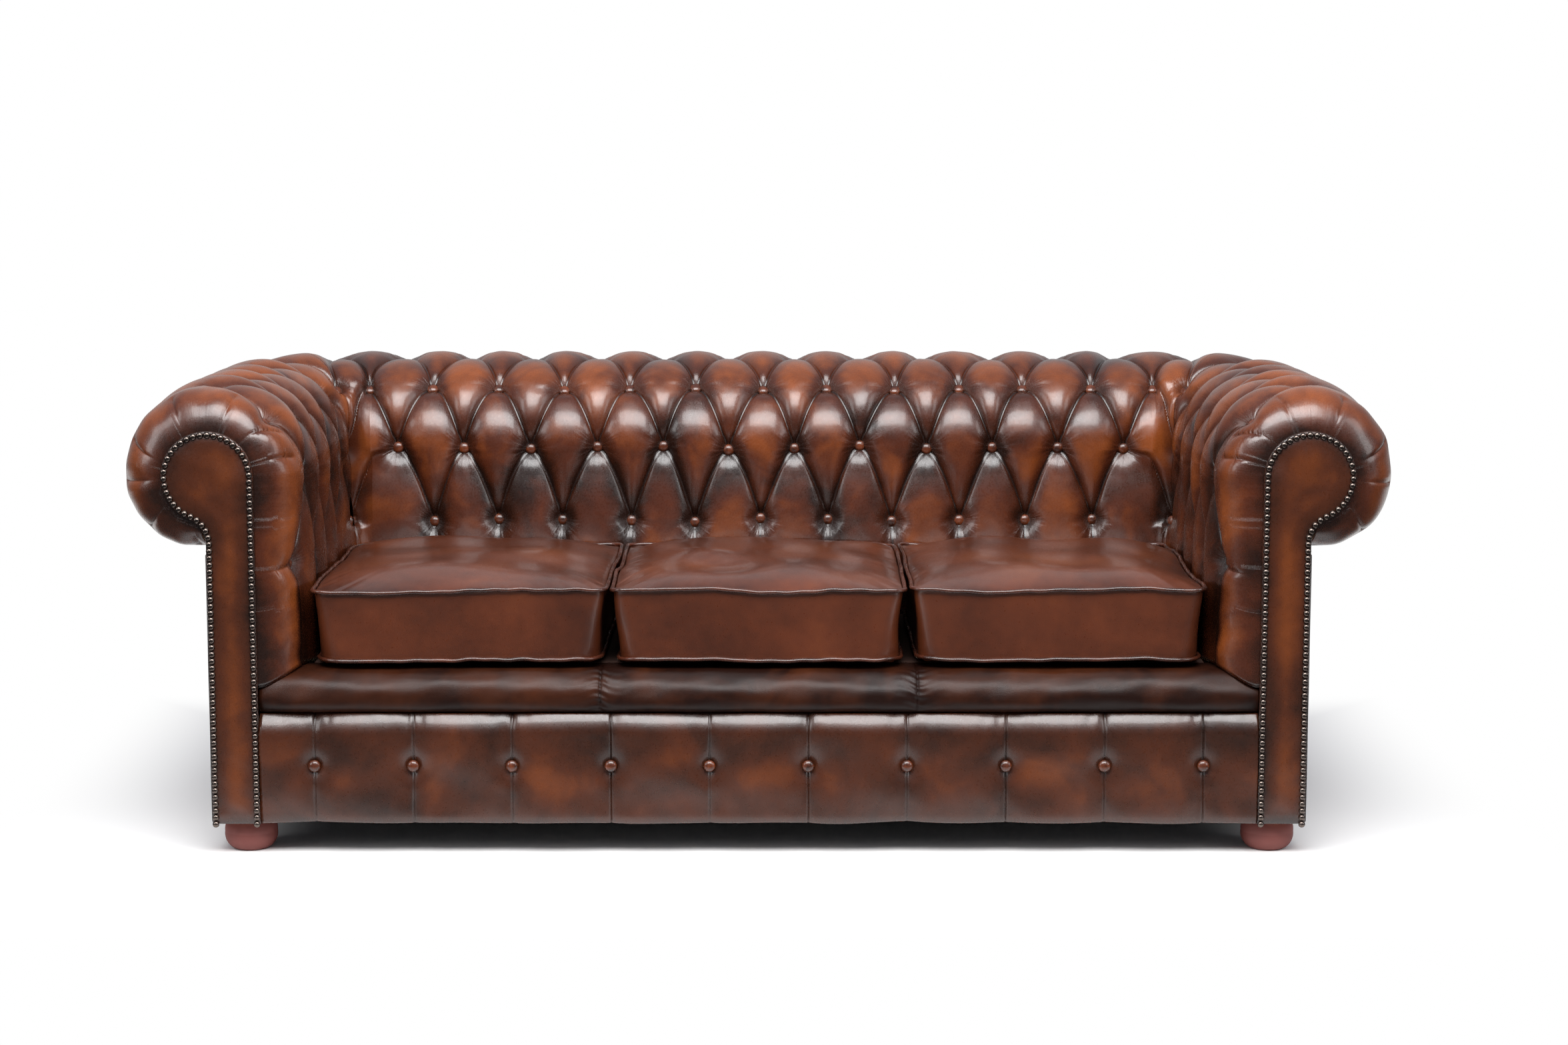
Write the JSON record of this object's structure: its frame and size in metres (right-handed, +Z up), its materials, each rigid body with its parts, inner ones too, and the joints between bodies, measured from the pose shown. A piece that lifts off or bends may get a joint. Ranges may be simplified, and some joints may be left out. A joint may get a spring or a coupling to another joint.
{
  "type": "chesterfield sofa",
  "caption": "Three-seat scroll-arm sofa with a deep-buttoned leather back and arms, nailed scroll fronts, loose seat cushions and turned bun feet.",
  "frame": {"origin": "on the floor under the middle of the sofa's outline", "axes": "+X along the seat to the right as one faces the sofa, +Y towards its back, +Z up; seated people face -Y"},
  "size_m": [2.05, 0.8912, 0.7629],
  "materials": {
    "leather": "hand-wiped antique brown leather, glossy",
    "seat_leather": "hand-wiped antique brown leather, glossy",
    "piping_leather": "dark brown leather cord",
    "button_leather": "leather-covered buttons",
    "foam": "upholstery foam",
    "platform_cloth": "woven platform cloth",
    "black_cloth": "non-woven dust cloth",
    "nail_metal": "dark antique dome nails",
    "spring_steel": "bare spring steel",
    "frame_timber": "sawn hardwood",
    "polished_wood": "dark mahogany gloss"
  },
  "bodies": {
    "sofa": {"arm_buttons_left": "button_leather", "arm_buttons_right": "button_leather", "arm_cover_left": "leather", "arm_cover_right": "leather", "arm_facing_left": "leather", "arm_facing_right": "leather", "arm_foam_left": "foam", "arm_foam_right": "foam", "arm_front_panel_left": "frame_timber", "arm_front_panel_right": "frame_timber", "arm_tacking_rail_left": "frame_timber", "arm_tacking_rail_right": "frame_timber", "arm_top_rail_left": "frame_timber", "arm_top_rail_right": "frame_timber", "arm_upright_left": "frame_timber", "arm_upright_right": "frame_timber", "back_buttons": "button_leather", "back_cover": "leather", "back_foam": "foam", "back_post_left": "frame_timber", "back_post_right": "frame_timber", "back_rail": "frame_timber", "back_tacking_rail": "frame_timber", "back_top_rail": "frame_timber", "back_uprights": "frame_timber", "border_buttons": "button_leather", "corner_blocks": "frame_timber", "dust_cover": "black_cloth", "facing_nails_left": "nail_metal", "facing_nails_right": "nail_metal", "foot_bolts": "spring_steel", "foot_left_back": "polished_wood", "foot_left_front": "polished_wood", "foot_right_back": "polished_wood", "foot_right_front": "polished_wood", "front_border": "leather", "front_lip": "leather", "front_rail": "frame_timber", "outside_arm_left": "leather", "outside_arm_right": "leather", "outside_back": "leather", "seat_crossmembers": "frame_timber", "seat_pad": "foam", "seat_platform_cloth": "platform_cloth", "seat_springs": "spring_steel", "side_rail_left": "frame_timber", "side_rail_right": "frame_timber", "spring_clips": "spring_steel", "top_corner_block_left": "frame_timber", "top_corner_block_right": "frame_timber"},
    "cushion_left": {"cushion_cover_left": "seat_leather", "cushion_foam_left": "foam", "cushion_piping_left": "piping_leather"},
    "cushion_middle": {"cushion_cover_middle": "seat_leather", "cushion_foam_middle": "foam", "cushion_piping_middle": "piping_leather"},
    "cushion_right": {"cushion_cover_right": "seat_leather", "cushion_foam_right": "foam", "cushion_piping_right": "piping_leather"}
  },
  "joints": [
    {"name": "cushion_left_lift", "type": "slide", "parent": "sofa", "child": "cushion_left", "axis": [0, 0, 1], "range_m": [0, 0.5]},
    {"name": "cushion_middle_lift", "type": "slide", "parent": "sofa", "child": "cushion_middle", "axis": [0, 0, 1], "range_m": [0, 0.5]},
    {"name": "cushion_right_lift", "type": "slide", "parent": "sofa", "child": "cushion_right", "axis": [0, 0, 1], "range_m": [0, 0.5]}
  ]
}
